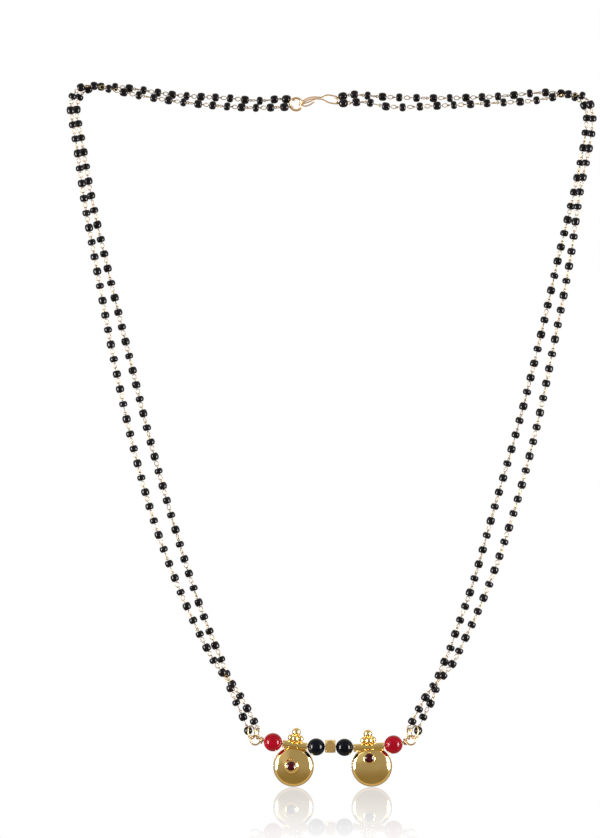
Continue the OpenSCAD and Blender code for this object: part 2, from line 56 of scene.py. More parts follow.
# The bar, its end loops and the beads on it
BAR_MID_X = 0.65
BAR_WIRE_R = 0.25
BAR_LOOP_X = 23.51
BAR_LOOP_Z = -193.04
BAR_LOOP_R = 1.39
BAR_CENTER = Vector((-0.2, 0, -194.85))
LEFT_LOOP = Vector((BAR_MID_X - BAR_LOOP_X, 0, BAR_LOOP_Z))
RIGHT_LOOP = Vector((BAR_MID_X + BAR_LOOP_X, 0, BAR_LOOP_Z))
LEFT_WIRE_END = LEFT_LOOP + BAR_LOOP_R * Vector((1, 0, 0))
RIGHT_WIRE_END = RIGHT_LOOP + BAR_LOOP_R * Vector((-1, 0, -0.25)).normalized()
RED_D = 5.6
BLACK_D = 5.3
CENTER_LEN = 3.1
BAR_BEAD_HOLE_R = 0.45
# Clear space between the centre bead and the black beads
BAR_GAP = 0.08
# How far a bead's middle hangs below the wire
BEAD_HANG = 0.1
# Chamfer of the round beads' holes
CHAMFER_WIDTH = 0.12
CHAMFER_DEPTH = 0.25
CENTER_BEVEL = 0.16
# How far the red beads reach past the outer ends of the stretches that carry the tubes
RED_NEST = {"left": 0.22, "right": 0.05}

# The cups, with their tubes, balls, settings and stones
# Ends of the wire's two straight stretches, each a little longer than the tube on it
TUBE_ENDS = {
    "left": (Vector((-14.95, 0, -194.05)), Vector((-6.9, 0, -195.05))),
    "right": (Vector((6.65, 0, -195.4)), Vector((16.1, 0, -194.85))),
}
TUBE_R = 1.18
TUBE_BORE_R = 0.3
CUP_R = 6.15
CUP_DEPTH = 2.9
CUP_WALL = 0.55
CUP_EDGE_R = 1.8
CUP_SET_BACK = 1.0
CUP_LEAN = math.radians(2)
# x and drop: from the middle of the tube to the middle of the cup. tube: its length.
# stone: its place on the cup, (right, up).
# turn: of the four lower balls, in degrees. boss: height of the soldered rise round the stone.
# dents: (right, up, width, depth). foot: of the setting, (out from its wall, height) downward.
CUPS = {
    "left": {
        "x": 0.4, "drop": 6.55, "tube": 7.5, "stone": (-0.7, 0.4), "turn": -8, "boss": 0.12,
        "dents": [(-2.6, 0.4, 0.35, -0.035), (-2.0, 2.3, 0.4, 0.03), (1.9, 1.5, 0.35, -0.03),
                  (0.4, 3.0, 0.5, -0.03)],
        "foot": [(0.05, 0.36), (0.2, 0.18), (0.4, 0.08), (0.4, -0.2)],
    },
    "right": {
        "x": 0.6, "drop": 6.0, "tube": 9.24, "stone": (-0.6, 2.7), "turn": 8, "boss": 0.04,
        "dents": [(1.35, 0.75, 0.28, -0.05), (2.9, -1.9, 0.3, -0.03), (-2.4, 2.6, 0.5, 0.02)],
        "foot": [(0, -0.2)],
    },
}
# The cup's face is a cap of a sphere that meets the round of the turned edge smoothly
EDGE_MIDDLE_R = CUP_R - CUP_EDGE_R
CUP_ARC_DROP = ((EDGE_MIDDLE_R ** 2 - (CUP_DEPTH - CUP_EDGE_R) ** 2)
                / (2 * (CUP_DEPTH - CUP_EDGE_R)))
CUP_CROWN_R = CUP_DEPTH + CUP_ARC_DROP
BALL_R = 1.075
TOP_BALL_R = 1.3
# Distance of a lower ball from the middle line of the five, in widths of a ball
BALL_SPREAD = 0.62
SOLDER_BITE = 0.14
STONE_R = 1.45
STONE_GAP = 0.05
BEZEL_WALL = 0.3
BEZEL_H = 0.85

# The clasp
CLASP_RING_AT = Vector((-10.54, 0, -0.97))
CLASP_RING_R = 1.84
CLASP_RING_WIRE_R = 0.36
HOOK_EYE_END = Vector((1.9, 0, 0.2))
HOOK_WIRE_R = 0.21
HOOK_ROUTE = [
    (1.9, 0, 0.24), (1.9, 0, 0.95), (1.65, 0, 1.3), (1, 0, 1.5), (-0.1, 0, 1.74), (-0.9, 0, 1.82),
    (-1.65, 0, 1.68), (-2.4, 0, 1.3), (-3.1, 0, 1.12), (-4.9, 0.1, 1.21), (-6.4, 0.4, 1.08),
    (-7.6, 0.7, 0.66), (-8.5, 0.85, 0.1), (-9.3, 0.55, -0.35), (-9.5, 0, -0.67),
    (-9.3, -0.55, -0.88), (-8.6, -0.85, -0.95), (-7.5, -0.85, -0.6), (-6.1, -0.8, -0.1),
    (-5.45, -0.75, 0.33), (-5.05, -0.75, 0.47), (-4.8, -0.75, 0.27), (-4.95, -0.75, -0.12),
    (-5.5, -0.78, -0.62), (-6.2, -0.8, -1.08), (-6.9, -0.85, -1.42), (-7.7, -0.85, -1.62),
    (-8.6, -0.85, -1.52), (-9.3, -0.55, -1.44), (-9.5, 0, -1.27), (-9.3, 0.55, -1),
    (-8.5, 0.85, -0.54), (-7.6, 0.7, 0.04), (-6.4, 0.4, 0.53), (-4.9, 0.1, 0.68), (-3.1, 0, 0.58),
    (-2.4, 0, 0.42), (-1.65, 0, 0.05), (-0.9, 0, -0.38), (0.2, 0, -0.66), (1.1, 0, -0.82),
    (1.65, 0, -0.75), (1.9, 0, -0.45), (1.9, 0, 0.18),
]

# The jump rings of the left half, with radii to the middle of their wire
SLIM_RING_AT = Vector((-22.17, 0.05, -191.02))
SLIM_RING_R = 1.7
SLIM_RING_WIRE_R = 0.2
SLIM_RING_TURN = math.radians(13)
OVAL_RING_AT = Vector((-23.98, -0.42, -190.58))
OVAL_RING_LONG_R = 1.92
OVAL_RING_SHORT_R = 1.72
OVAL_RING_WIRE_R = 0.23
OVAL_RING_TURN = math.radians(54.5)
OVAL_RING_SLANT = math.radians(17)
OVAL_RING_LEAN = math.radians(9.5)

# The small beads
BEAD_R = 1.3
BEAD_BORE_R = 0.4
# A CAD bead's points nearer than this to the strand's line belong to the rims of its hole
RIM_WITHIN = BEAD_R * 0.62

# ---------------------------------------------------------------- sizes of what the scene adds

# The links of the strands, with radii to the middle of their wire
LINK_WIRE_R = 0.13
LINK_SIDES = 6
BIG_LOOP_LEN = 0.85
BIG_LOOP_WIDTH = 0.58
SMALL_LOOP_R = 0.37
END_LOOP_R = 0.63
COIL_PITCH = 0.3
# Half the distance between two loops' wires where one link pulls on the next
LINK_GRIP = LINK_WIRE_R + 0.01
# Clear space between a link's loop and the bead beside it
LINK_CLEAR = 0.03
# How far the loops are turned about the link's line, in radians either way
SMALL_LOOP_SWAY = 0.25
BIG_LOOP_SWAY = 0.6
# Share of the big loops that are seen on edge
EDGE_ON_SHARE = {"left": 0.35, "right": 0.65}

# The small beads: the slope of their ends either way, least squash and least width
BEAD_LEAN = 0.05
BEAD_SQUASH = 0.97
BEAD_BELLY = 0.98
# The least width of a round bead across its axis, as a share of its size
ROUND_BEAD_LEAST = 0.985

# The wrapped turns beside the bar's end loops: how far in from the loop, and their radius
WRAP_TURNS = 1.4
WRAP_FROM, WRAP_TO = 0.88, 0.2
WRAP_R_FROM, WRAP_R_TO = 0.7, 1.0
# How far behind the loop's plane the wire is where the wrapped turns pass into the loop
WRAP_BEHIND = 0.24
# Share of a turn by which the end loop stays open on each side of the bar
LOOP_OPENING = 0.06

# The raised part round a cup's stone, and the height below which the cup isn't hammered
BOSS_TOP_R, BOSS_FOOT_R = 2.0, 2.9
HAMMERED_FROM = 0.6

# Seed of all random draws
SEED = 24


# ---------------------------------------------------------------- mesh helpers

def put(name, data):
    """Object of a mesh, a light or a camera, linked to the scene."""
    obj = bpy.data.objects.new(name, data)
    bpy.context.scene.collection.objects.link(obj)
    return obj


class Shape:
    """Vertices and faces of one piece, gathered in millimetres."""

    def __init__(self):
        self.points = []
        self.faces = []

    def add(self, points, faces):
        start = len(self.points)
        self.points.extend(Vector(p) for p in points)
        self.faces.extend([start + i for i in f] for f in faces)

    def mesh(self, name):
        mesh = bpy.data.meshes.new(name)
        mesh.from_pydata([p * MM for p in self.points], [], self.faces)
        return mesh

    def piece(self, name, material, body, replaced):
        """Puts the shape into the scene in place of CAD nodes, on the body that carries it."""
        mesh = self.mesh(name)
        mesh.materials.append(material)
        mesh.polygons.foreach_set("use_smooth", [True] * len(self.faces))
        mesh.update()
        mesh.validate()
        obj = put(name, mesh)
        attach(obj, body)
        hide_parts(*replaced)


def across(direction):
    """Two unit vectors at right angles to a direction and to each other."""
    d = Vector(direction).normalized()
    side = d.cross(Y if abs(d.y) < 0.9 else X).normalized()
    return side, d.cross(side).normalized()


def sweep(shape, path, radius, sides, closed=False):
    """Round wire along a path."""
    path = [Vector(p) for p in path]
    count = len(path)
    tangents = []
    for i in range(count):
        before = path[(i - 1) % count] if closed or i else path[0]
        after = path[(i + 1) % count] if closed or i < count - 1 else path[-1]
        tangents.append((after - before).normalized())
    side = across(tangents[0])[0]
    sides_at = []
    for t in tangents:
        side = (side - side.dot(t) * t).normalized()
        sides_at.append(side.copy())
    twist = 0.0
    if closed:
        last = sides_at[-1] - sides_at[-1].dot(tangents[0]) * tangents[0]
        up = tangents[0].cross(sides_at[0])
        twist = math.atan2(last.dot(up), last.dot(sides_at[0]))
    points = []
    for i, (p, t, s) in enumerate(zip(path, tangents, sides_at)):
        up = t.cross(s)
        turn = -twist * i / count
        for k in range(sides):
            a = 2 * math.pi * k / sides + turn
            points.append(p + radius * (math.cos(a) * s + math.sin(a) * up))
    faces = []
    for i in range(count if closed else count - 1):
        j = (i + 1) % count
        for k in range(sides):
            m = (k + 1) % sides
            faces.append([i * sides + k, i * sides + m, j * sides + m, j * sides + k])
    if not closed:
        faces.append(list(range(sides))[::-1])
        faces.append([(count - 1) * sides + k for k in range(sides)])
    shape.add(points, faces)


def lathe(shape, profile, sides, placing, closed=False, warp=None):
    """Turns a profile of (radius, height) about the Z axis of a matrix. Radius 0 is one pole."""
    points, rows = [], []
    for r, h in profile:
        if r <= 1e-9:
            rows.append([len(points)])
            points.append(Vector((0, 0, h)))
        else:
            rows.append(list(range(len(points), len(points) + sides)))
            for k in range(sides):
                a = 2 * math.pi * k / sides
                points.append(Vector((r * math.cos(a), r * math.sin(a), h)))
    faces = []
    for low, high in zip(rows, rows[1:] + rows[:1] if closed else rows[1:]):
        for k in range(sides):
            m = (k + 1) % sides
            if len(low) == 1:
                faces.append([low[0], high[k], high[m]])
            elif len(high) == 1:
                faces.append([low[k], high[0], low[m]])
            else:
                faces.append([low[k], high[k], high[m], low[m]])
    if warp:
        points = [warp(p) for p in points]
    shape.add([placing @ p for p in points], faces)


def ring(shape, centre, u, v, r_u, r_v, wire_r, sides=10, steps=40):
    """Closed wire ring round a centre, in the plane of u and v."""
    path = [centre + r_u * math.cos(a) * u + r_v * math.sin(a) * v
            for a in (2 * math.pi * i / steps for i in range(steps))]
    sweep(shape, path, wire_r, sides, closed=True)


def ball_profile(r):
    """Outline of a ball from its upper pole down."""
    return [(r * math.sin(math.pi * i / 24), r * math.cos(math.pi * i / 24)) for i in range(25)]


def smooth_path(points, per_stretch):
    """Curve that passes through the points."""
    points = [Vector(p) for p in points]
    out = []
    for i in range(len(points) - 1):
        a, b = points[i], points[i + 1]
        before = points[i - 1] if i else a
        after = points[i + 2] if i + 2 < len(points) else b
        slope_a, slope_b = (b - before) / 2, (after - a) / 2
        for step in range(per_stretch):
            t = step / per_stretch
            out.append(a * (2 * t ** 3 - 3 * t ** 2 + 1) + b * (3 * t ** 2 - 2 * t ** 3)
                       + slope_a * (t ** 3 - 2 * t ** 2 + t) + slope_b * (t ** 3 - t ** 2))
    out.append(points[-1])
    return out


def placed(at, z_axis, spin=0.0):
    """Matrix whose Z axis points along z_axis."""
    turn = Vector(z_axis).normalized().to_track_quat("Z", "Y").to_matrix().to_4x4()
    return Matrix.Translation(at) @ turn @ Matrix.Rotation(spin, 4, "Z")


# ---------------------------------------------------------------- node helpers

def add_node(tree, kind, **values):
    """New node, with values for its inputs and its settings by name."""
    n = tree.nodes.new(kind)
    for key, value in values.items():
        if key in n.inputs:
            n.inputs[key].default_value = value
        else:
            setattr(n, key, value)
    return n


def eased(tree, source, low, high, to_low=0.0, to_high=1.0):
    """Goes smoothly from to_low to to_high while the source goes from low to high."""
    n = add_node(tree, "ShaderNodeMapRange", interpolation_type="SMOOTHSTEP")
    for socket, value in (("From Min", low), ("From Max", high),
                          ("To Min", to_low), ("To Max", to_high)):
        n.inputs[socket].default_value = value
    tree.links.new(source, n.inputs["Value"])
    return n.outputs["Result"]


class Nodes:
    """Short hand for a material's node tree."""

    def __init__(self, name):
        self.material = bpy.data.materials.new(name)
        self.material.use_nodes = True
        self.tree = self.material.node_tree
        self.shader = self.tree.nodes["Principled BSDF"]

    def node(self, kind, **values):
        return add_node(self.tree, kind, **values)

    def join(self, out, into):
        self.tree.links.new(out, into)

    def place(self):
        return self.node("ShaderNodeTexCoord").outputs["Object"]

    def noise(self, scale, detail=2.0, rough=0.5, distortion=0.0):
        n = self.node("ShaderNodeTexNoise", Scale=scale, Detail=detail, Roughness=rough,
                      Distortion=distortion)
        self.join(self.place(), n.inputs["Vector"])
        return n.outputs["Fac"]

    def ramp(self, fac, stops):
        n = self.node("ShaderNodeValToRGB")
        while len(n.color_ramp.elements) < len(stops):
            n.color_ramp.elements.new(0.5)
        for element, (at, color) in zip(n.color_ramp.elements, stops):
            element.position = at
            element.color = (*color, 1)
        self.join(fac, n.inputs["Fac"])
        return n.outputs["Color"]

    def spread(self, fac, low, high):
        n = self.node("ShaderNodeMapRange")
        n.inputs["To Min"].default_value = low
        n.inputs["To Max"].default_value = high
        self.join(fac, n.inputs["Value"])
        return n.outputs["Result"]

    def bump(self, height, distance, onto=None):
        n = self.node("ShaderNodeBump", Distance=distance, Strength=1.0)
        self.join(height, n.inputs["Height"])
        if onto:
            self.join(onto, n.inputs["Normal"])
        return n.outputs["Normal"]

    def set(self, **values):
        for key, value in values.items():
            self.shader.inputs[key.replace("_", " ")].default_value = value

    def white_light(self):
        n = self.node("ShaderNodeEmission", Strength=1.0)
        n.inputs["Color"].default_value = (1, 1, 1, 1)
        return n.outputs["Emission"]

    def show_only(self, out):
        """Makes an output the whole surface, in place of the principled shader."""
        self.join(out, self.tree.nodes["Material Output"].inputs["Surface"])
        self.tree.nodes.remove(self.shader)


# ---------------------------------------------------------------- materials

def gold(name, low, high, rough, wave=0.00002, scale=260.0):
    """Gold between two colours, with a fine grain over waves of a height in metres."""
    m = Nodes(name)
    m.set(Metallic=1.0)
    m.join(m.ramp(m.noise(180, 3), [(0.3, low), (0.75, high)]), m.shader.inputs["Base Color"])
    m.join(m.spread(m.noise(900, 4, 0.6), *rough), m.shader.inputs["Roughness"])
    broad = m.bump(m.noise(scale, 1.5, 0.4), wave)
    fine = m.bump(m.noise(6000, 2), 0.0000004, onto=broad)
    m.join(fine, m.shader.inputs["Normal"])
    return m.material


def glass_bead(name, stops, rough, speckle, gloss):
    """Glass whose colour follows a noise, given as speckle."""
    m = Nodes(name)
    m.join(m.ramp(m.noise(*speckle), stops), m.shader.inputs["Base Color"])
    m.join(m.spread(m.noise(1500, 3), *rough), m.shader.inputs["Roughness"])
    m.join(m.bump(m.noise(500, 1), 0.0000008), m.shader.inputs["Normal"])
    m.set(IOR=1.47, Specular_IOR_Level=gloss)
    return m


cup_gold = gold("polished_gold", (0.88, 0.66, 0.30), (0.96, 0.74, 0.38), (0.04, 0.08))
clasp_gold = gold("clasp_gold", (0.93, 0.64, 0.40), (1.0, 0.75, 0.50), (0.2, 0.32))
wire_gold = gold("wire_gold", (0.60, 0.42, 0.21), (0.74, 0.56, 0.32), (0.28, 0.4))
link_gold = gold("link_gold", (0.44, 0.31, 0.17), (0.61, 0.47, 0.30), (0.38, 0.52),
                 wave=0.000012, scale=900)
bead_gold = gold("brushed_bead_gold", (0.78, 0.52, 0.20), (0.92, 0.66, 0.30), (0.2, 0.34),
                 scale=900)

black_glass = glass_bead(
    "black_glass", [(0.35, (0.0005, 0.001, 0.003)), (0.8, (0.001, 0.003, 0.008))],
    (0.08, 0.12), (300, 3), gloss=0.2).material
small_black_glass = glass_bead(
    "small_black_glass", [(0.35, (0.001, 0.001, 0.002)), (0.8, (0.006, 0.004, 0.008))],
    (0.08, 0.14), (260, 2), gloss=0.3).material

red = glass_bead(
    "veined_red_glass",
    [(0.30, (0.16, 0.000, 0.005)), (0.55, (0.23, 0.000, 0.008)), (0.7, (0.28, 0.002, 0.018)),
     (0.85, (0.34, 0.02, 0.06))],
    (0.1, 0.14), (160, 2, 0.5, 0.8), gloss=0.22)
red.set(Subsurface_Weight=0.2, Subsurface_Radius=(0.003, 0.0006, 0.0008), Subsurface_Scale=0.4)
red_glass = red.material

stone = Nodes("dark_red_stone")
stone.join(stone.ramp(stone.noise(1100, 3, 0.6),
                      [(0.35, (0.006, 0.000, 0.002)), (0.7, (0.065, 0.001, 0.006))]),
           stone.shader.inputs["Base Color"])
stone.join(stone.spread(stone.noise(2500, 2), 0.02, 0.06), stone.shader.inputs["Roughness"])
stone.set(IOR=1.76, Specular_IOR_Level=0.16)
dark_stone = stone.material


# ---------------------------------------------------------------- directions in the jump rings

slim_across = Vector((math.sin(SLIM_RING_TURN), math.cos(SLIM_RING_TURN), 0))
oval_down = Vector((math.sin(OVAL_RING_SLANT) * math.cos(OVAL_RING_LEAN),
                    math.sin(OVAL_RING_LEAN),
                    -math.cos(OVAL_RING_SLANT) * math.cos(OVAL_RING_LEAN)))
oval_side = Vector((math.cos(OVAL_RING_SLANT), 0, math.sin(OVAL_RING_SLANT)))
oval_across = (math.cos(OVAL_RING_TURN) * oval_side
               + math.sin(OVAL_RING_TURN) * oval_side.cross(oval_down))


def direction_on(side, v):
    """A direction of the left half, or its mirror image on the right half."""
    return v if side == "left" else Vector((-v.x, v.y, v.z))


def place_on(side, v):
    """A place of the left half, or its mirror image on the right half."""
    return v if side == "left" else Vector((2 * BAR_MID_X - v.x, v.y, v.z))


# ---------------------------------------------------------------- bead strands and their links

def bead_places(node):
    """(centre, axis, length) of each bead of a CAD node, from the clasp down to the bar."""
    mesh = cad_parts[node].data
    points = np.zeros(len(mesh.vertices) * 3)
    mesh.vertices.foreach_get("co", points)
    points = points.reshape(-1, 3) / MM
    keys, merged = np.unique(np.round(points, 4), axis=0, return_inverse=True)
    merged = merged.ravel()
    edges = np.zeros(len(mesh.edges) * 2, dtype=np.int64)
    mesh.edges.foreach_get("vertices", edges)
    edges = merged[edges].reshape(-1, 2)
    # All points that edges join end up with one label, so each label is one bead
    label = np.arange(len(keys))
    while True:
        low = np.minimum(label[edges[:, 0]], label[edges[:, 1]])
        before = label.copy()
        np.minimum.at(label, edges[:, 0], low)
        np.minimum.at(label, edges[:, 1], low)
        label = label[label]
        if (label == before).all():
            break
    beads = []
    for root in np.unique(label):
        cloud = keys[label == root]
        beads.append((Vector(cloud.mean(axis=0)), cloud))
    at = CLASP_RING_AT if node.startswith("left") else HOOK_EYE_END
    ordered = []
    while beads:
        nearest = min(range(len(beads)), key=lambda i: (beads[i][0] - at).length)
        ordered.append(beads.pop(nearest))
        at = ordered[-1][0]
    return [aimed(ordered, i) for i in range(len(ordered))]


def aimed(beads, i):
    """(centre, axis, length) of one bead. Its axis runs on along the strand."""
    centre, cloud = beads[i]
    after, before = beads[min(i + 1, len(beads) - 1)][0], beads[max(i - 1, 0)][0]
    on = (after - before).normalized()
    offsets = cloud - np.array(centre)
    distance = np.linalg.norm(offsets, axis=1)
    ahead = offsets @ np.array(on)
    off_line = np.sqrt(np.maximum(distance ** 2 - ahead ** 2, 0))
    rims = off_line < RIM_WITHIN
    axis = Vector(offsets[(ahead > 0) & rims].mean(axis=0)
                  - offsets[(ahead < 0) & rims].mean(axis=0)).normalized()
    along = offsets @ np.array(axis)
    first, last = float(along.min()), float(along.max())
    return centre + axis * (last + first) / 2, axis, last - first


def end_joint(bead, next_bead):
    """Where the strand's outermost link holds on.

    It is as far from its bead as the joint on the bead's other side.
    """
    (a, axis, _), (b, next_axis, _) = bead, next_bead
    half = (b - a).length / 2
    toward = 1 if axis.dot(b - a) > 0 else -1
    return 2 * a - (a + toward * axis * half + b - toward * next_axis * half) / 2


def bead_profile(length, radius):
    """Outline of a small bead: a hole with soft rims, flat ends and round shoulders."""
    half = length / 2
    rim = [(BEAD_BORE_R, half * 0.9), (BEAD_BORE_R + 0.1, half * 0.97)]
    outline = [(r, -h) for r, h in rim]
    for i in range(11):
        t = -math.cos(math.pi * i / 10)
        share = (1 - abs(t) ** 2.2) ** (1 / 2.1) if 0 < i < 10 else 0
        outline.append((radius * (0.5 + 0.5 * share), half * t))
    return outline + rim[::-1]


def clasp_wire(side, at):
    """Direction of the clasp's wire where a strand's first link goes round it."""
    if side == "right":
        return Z
    arm = at - CLASP_RING_AT
    return Vector((arm.z, 0, -arm.x)).normalized()


def jump_ring_wire(side, row):
    """Direction of the jump ring's wire where a strand's last link goes round it."""
    return direction_on(side, slim_across if row == "outer" else oval_down + oval_across / 2)


def link_loop(shape, centre, along, turn, half_len, half_width, steps):
    """Link's loop in the plane of its line and a direction turned away from the picture's plane."""
    side_ways, outward = across(along)
    v = math.cos(turn) * side_ways + math.sin(turn) * outward
    ring(shape, centre, along, v, half_len, half_width, LINK_WIRE_R, LINK_SIDES, steps)


def end_loop(shape, centre, along, holder, coils):
    """Loop of one or more turns round the wire that holds a strand's end."""
    normal = (holder - holder.dot(along) * along).normalized()
    for k in range(coils):
        ring(shape, centre + normal * (k - (coils - 1) / 2) * COIL_PITCH, along,
             normal.cross(along), END_LOOP_R, END_LOOP_R, LINK_WIRE_R, LINK_SIDES, steps=16)


def dress_beads(name, beads, chance):
    """Slightly uneven glass beads at the places of a strand's CAD beads."""
    glass = Shape()
    for centre, axis, length in beads:
        lean_x = chance.uniform(-BEAD_LEAN, BEAD_LEAN)
        lean_y = chance.uniform(-BEAD_LEAN, BEAD_LEAN)
        squash = chance.uniform(BEAD_SQUASH, 1.0)
        belly = chance.uniform(BEAD_BELLY, 1.0)

        def uneven(p, lean_x=lean_x, lean_y=lean_y, squash=squash):
            return Vector((p.x, p.y * squash, p.z + lean_x * p.x + lean_y * p.y))

        placing = placed(centre, axis, chance.uniform(0, math.pi))
        lathe(glass, bead_profile(length, BEAD_R * belly), 16, placing, closed=True, warp=uneven)
    glass.piece(f"{name}_glass_beads", small_black_glass, NECKLACE, [f"{name}_beads"])


def link_joints(beads):
    """Where each link's big loop meets the small loop of the next, and the big loops' half lengths.

    The first and the last joint are where the strand holds on to the clasp and to its jump ring.
    """
    joints, big_lens = [], []
    small_end = 2 * SMALL_LOOP_R - LINK_GRIP + LINK_WIRE_R + LINK_CLEAR
    for (a, axis_a, len_a), (b, axis_b, len_b) in zip(beads, beads[1:]):
        leaves, enters = a + axis_a * len_a / 2, b - axis_b * len_b / 2
        clear = (enters - leaves).length
        half = min((clear - small_end - LINK_WIRE_R - LINK_CLEAR + LINK_GRIP) / 2, BIG_LOOP_LEN)
        spare = clear - small_end - (2 * half - LINK_GRIP + LINK_WIRE_R + LINK_CLEAR)
        joints.append(enters - (enters - leaves).normalized() * (small_end + spare / 2))
        big_lens.append(half)
    joints = [end_joint(beads[0], beads[1])] + joints + [end_joint(beads[-1], beads[-2])]
    return joints, big_lens


def dress_links(side, row, beads, chance):
    """One link through each bead: a small loop toward the clasp and a big one toward the bar."""
    joints, big_lens = link_joints(beads)
    links = Shape()
    turn = 0.0
    for i in range(len(beads)):
        first, last = joints[i], joints[i + 1]
        along = (last - first).normalized()
        if i == 0:
            end_loop(links, first, along, clasp_wire(side, first), 1 if side == "left" else 2)
            wire_from = first + along * END_LOOP_R
        else:
            link_loop(links, first + along * (SMALL_LOOP_R - LINK_GRIP), along,
                      turn + math.pi / 2 + chance.uniform(-SMALL_LOOP_SWAY, SMALL_LOOP_SWAY),
                      SMALL_LOOP_R, SMALL_LOOP_R, 10)
            wire_from = first + along * (2 * SMALL_LOOP_R - LINK_GRIP)
        if i == len(beads) - 1:
            end_loop(links, last, along, jump_ring_wire(side, row), 1)
            wire_to = last - along * END_LOOP_R
        else:
            half = big_lens[i]
            edge_on = chance.random() < EDGE_ON_SHARE[side]
            turn = chance.uniform(-BIG_LOOP_SWAY, BIG_LOOP_SWAY) + (math.pi / 2 if edge_on else 0)
            link_loop(links, last - along * (half - LINK_GRIP), along, turn,
                      half, BIG_LOOP_WIDTH, 14)
            wire_to = last - along * (2 * half - LINK_GRIP)
        sweep(links, [wire_from, wire_to], LINK_WIRE_R, LINK_SIDES)
    links.piece(f"{side}_{row}_gold_links", link_gold, NECKLACE, [f"{side}_{row}_chain"])


chance = random.Random(SEED)
for side in SIDES:
    for row in ROWS:
        strand = bead_places(f"{side}_{row}_beads")
        dress_beads(f"{side}_{row}", strand, chance)
        dress_links(side, row, strand, chance)


# ---------------------------------------------------------------- clasp and jump rings

clasp_ring = Shape()
ring(clasp_ring, CLASP_RING_AT, X, Z, CLASP_RING_R, CLASP_RING_R, CLASP_RING_WIRE_R,
     sides=14, steps=56)
clasp_ring.piece("clasp_ring_gold", clasp_gold, NECKLACE, ["clasp_ring"])

hook = Shape()
sweep(hook, smooth_path(HOOK_ROUTE, 4), HOOK_WIRE_R, 10)
hook.piece("clasp_hook_gold", clasp_gold, NECKLACE, ["clasp_hook"])

for side in SIDES:
    slim = Shape()
    ring(slim, place_on(side, SLIM_RING_AT), direction_on(side, slim_across), Z,
         SLIM_RING_R, SLIM_RING_R, SLIM_RING_WIRE_R)
    slim.piece(f"{side}_slim_ring_gold", wire_gold, NECKLACE, [f"{side}_slim_ring"])
    oval = Shape()
    ring(oval, place_on(side, OVAL_RING_AT), direction_on(side, oval_down),
         direction_on(side, oval_across), OVAL_RING_LONG_R, OVAL_RING_SHORT_R, OVAL_RING_WIRE_R)
    oval.piece(f"{side}_oval_ring_gold", wire_gold, NECKLACE, [f"{side}_oval_ring"])


# ---------------------------------------------------------------- the bar and what is on it

def wrapped_end(loop_at, wire_end, inward):
    """Path of the wire: the wrapped turns, then the end loop, then the start of the bar."""
    up = inward.cross(Y).normalized()
    path = []
    wrap_steps = int(WRAP_TURNS * 14)
    for i in range(wrap_steps + 1):
        t = i / wrap_steps
        a = 2 * math.pi * WRAP_TURNS * (1 - t)
        r = WRAP_R_FROM + (WRAP_R_TO - WRAP_R_FROM) * t
        along = WRAP_FROM * (1 - t) + WRAP_TO * t
        path.append(wire_end + inward * along + r * (math.cos(a) * Y + math.sin(a) * up))
    outward = (wire_end - loop_at).normalized()
    cross = Y.cross(outward)
    loop_steps = 30
    for i in range(1, loop_steps):
        t = i / loop_steps
        a = 2 * math.pi * (LOOP_OPENING + (1 - 2 * LOOP_OPENING) * t)
        path.append(loop_at + BAR_LOOP_R * (math.cos(a) * outward + math.sin(a) * cross)
                    + Y * WRAP_BEHIND * (1 - t) ** 3)
    return path + [wire_end + inward * 0.1, wire_end + inward * 0.5]


left_from, left_to = TUBE_ENDS["left"]
right_from, right_to = TUBE_ENDS["right"]
bar = Shape()
left_end = wrapped_end(LEFT_LOOP, LEFT_WIRE_END, (left_from - LEFT_WIRE_END).normalized())
right_end = wrapped_end(RIGHT_LOOP, RIGHT_WIRE_END, (right_to - RIGHT_WIRE_END).normalized())
sweep(bar, left_end + [left_from, left_to, BAR_CENTER, right_from, right_to] + right_end[::-1],
      BAR_WIRE_R, 10)
bar.piece("bar_wire_gold", wire_gold, NECKLACE, ["bar_wire"])


def on_wire(start, end, x, hang=0):
    """Place at an x on a stretch of the wire, or a little below it, and the stretch's direction."""
    share = (x - start.x) / (end.x - start.x)
    return start + share * (end - start) - Z * hang, (end - start).normalized()


def round_bead(name, at, axis, d, material, replaced, slot, chance):
    """Polished round bead with a chamfered drill hole, a little out of round."""
    r, hole = d / 2, BAR_BEAD_HOLE_R
    edge = math.asin((hole + CHAMFER_WIDTH) / r)
    chamfer = r * math.cos(edge) - CHAMFER_DEPTH
    steps = 36
    profile = [(hole, 0.0), (hole, chamfer)]
    for i in range(steps + 1):
        a = edge + (math.pi - 2 * edge) * i / steps
        profile.append((r * math.sin(a), r * math.cos(a)))
    profile.append((hole, -chamfer))
    wide, tall = chance.uniform(ROUND_BEAD_LEAST, 1.0), chance.uniform(ROUND_BEAD_LEAST, 1.0)
    bead = Shape()
    lathe(bead, profile[::-1], 64, placed(at, axis, chance.uniform(0, 6)), closed=True,
          warp=lambda p: Vector((p.x * wide, p.y * tall, p.z)))
    bead.piece(name, material, NECKLACE, [replaced])


red_at = {
    "left": on_wire(LEFT_WIRE_END, left_from, left_from.x + RED_NEST["left"] - RED_D / 2),
    "right": on_wire(right_to, RIGHT_WIRE_END, right_to.x - RED_NEST["right"] + RED_D / 2,
                     BEAD_HANG),
}
black_off = CENTER_LEN / 2 + BAR_GAP + BLACK_D / 2
black_at = {
    "left": on_wire(left_to, BAR_CENTER, BAR_CENTER.x - black_off, BEAD_HANG),
    "right": on_wire(BAR_CENTER, right_from, BAR_CENTER.x + black_off),
}
for side in SIDES:
    round_bead(f"{side}_red_glass_bead", *red_at[side], RED_D, red_glass,
               f"{side}_red_bead", "red_glass", chance)
    round_bead(f"{side}_black_glass_bead", *black_at[side], BLACK_D, black_glass,
               f"{side}_black_bead", "black_glass", chance)

